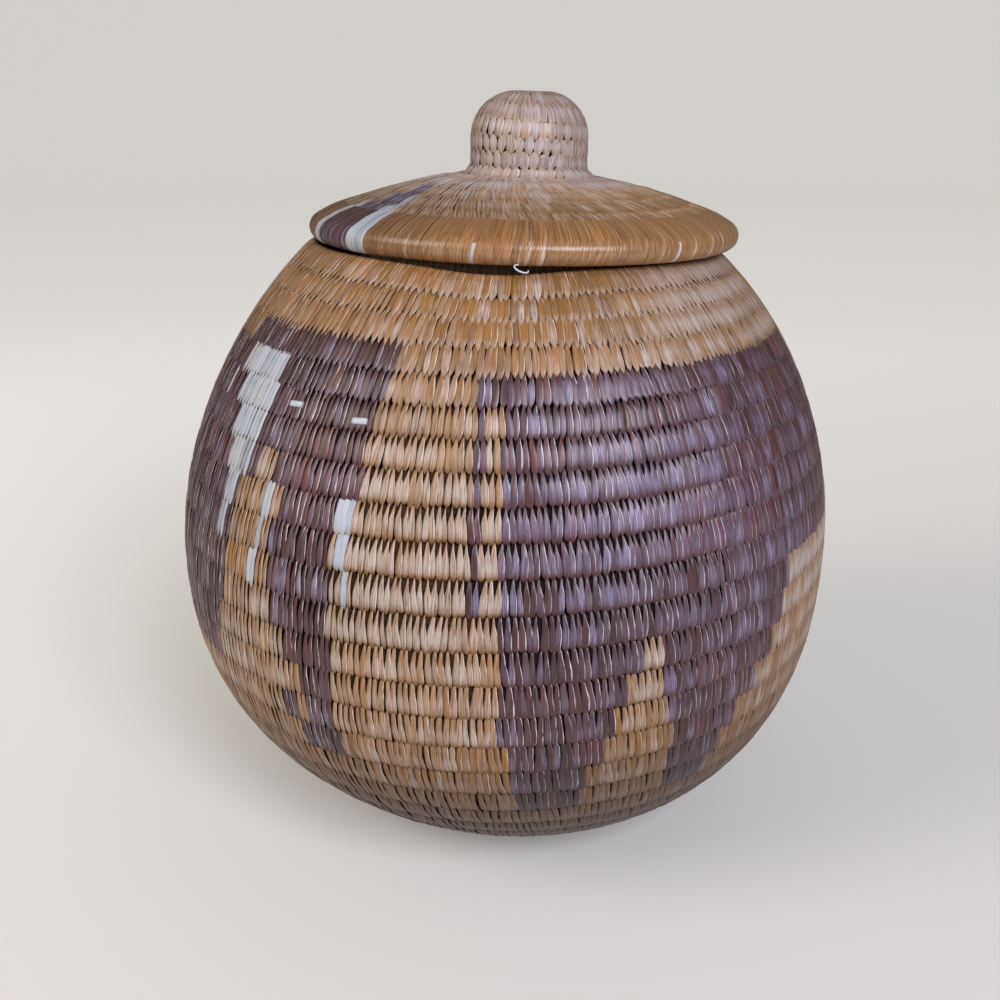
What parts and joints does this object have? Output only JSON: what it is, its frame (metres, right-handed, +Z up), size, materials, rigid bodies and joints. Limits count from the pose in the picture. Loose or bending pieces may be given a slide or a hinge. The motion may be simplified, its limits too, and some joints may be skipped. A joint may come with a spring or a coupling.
{
  "type": "coiled lidded basket",
  "caption": "Round coiled basket of leaf-wrapped grass bundle with a stepped dark pattern and a lift-off lid with a coiled knob.",
  "frame": {"origin": "centre of the bounding box's underside: the middle of the flat base, on the surface that the basket stands on", "axes": "+Z up through the knob; -Y towards the side that the picture shows; +X to that view's right"},
  "size_m": [0.2383, 0.2386, 0.2662],
  "materials": {
    "weathered_leaf": "dry leaf strip, grey-tan, weathered",
    "tan_leaf": "leaf strip with a soft sheen, tan",
    "golden_leaf": "leaf strip with a soft sheen, golden tan",
    "mixed_leaf": "leaf strip, dark dyed and tan in panels",
    "dark_leaf": "dyed leaf strip with a soft sheen, dark brown",
    "silvery_leaf": "leaf strip, silvery tan",
    "bleached_leaf": "bleached leaf strip, off-white"
  },
  "bodies": {
    "basket": {"start_knot": "weathered_leaf", "base_coil": "weathered_leaf", "lower_wall_coil": "mixed_leaf", "lower_belly_coil": "mixed_leaf", "upper_belly_coil": "dark_leaf", "shoulder_coil": "tan_leaf", "mouth_coil": "golden_leaf"},
    "lid": {"knob_start_knot": "silvery_leaf", "knob_top_coil": "silvery_leaf", "knob_side_coil": "silvery_leaf", "neck_coil": "silvery_leaf", "crown_coil": "tan_leaf", "collar_coil": "tan_leaf", "rim_bundle": "tan_leaf", "rim_binding_left": "golden_leaf", "rim_binding_white_narrow": "bleached_leaf", "rim_binding_dark": "dark_leaf", "rim_binding_white_wide": "bleached_leaf", "rim_binding_front": "golden_leaf"}
  },
  "joints": [
    {"name": "lid_lift", "type": "slide", "parent": "basket", "child": "lid", "axis": [0, 0, 1], "range_m": [0, 0.1]}
  ]
}
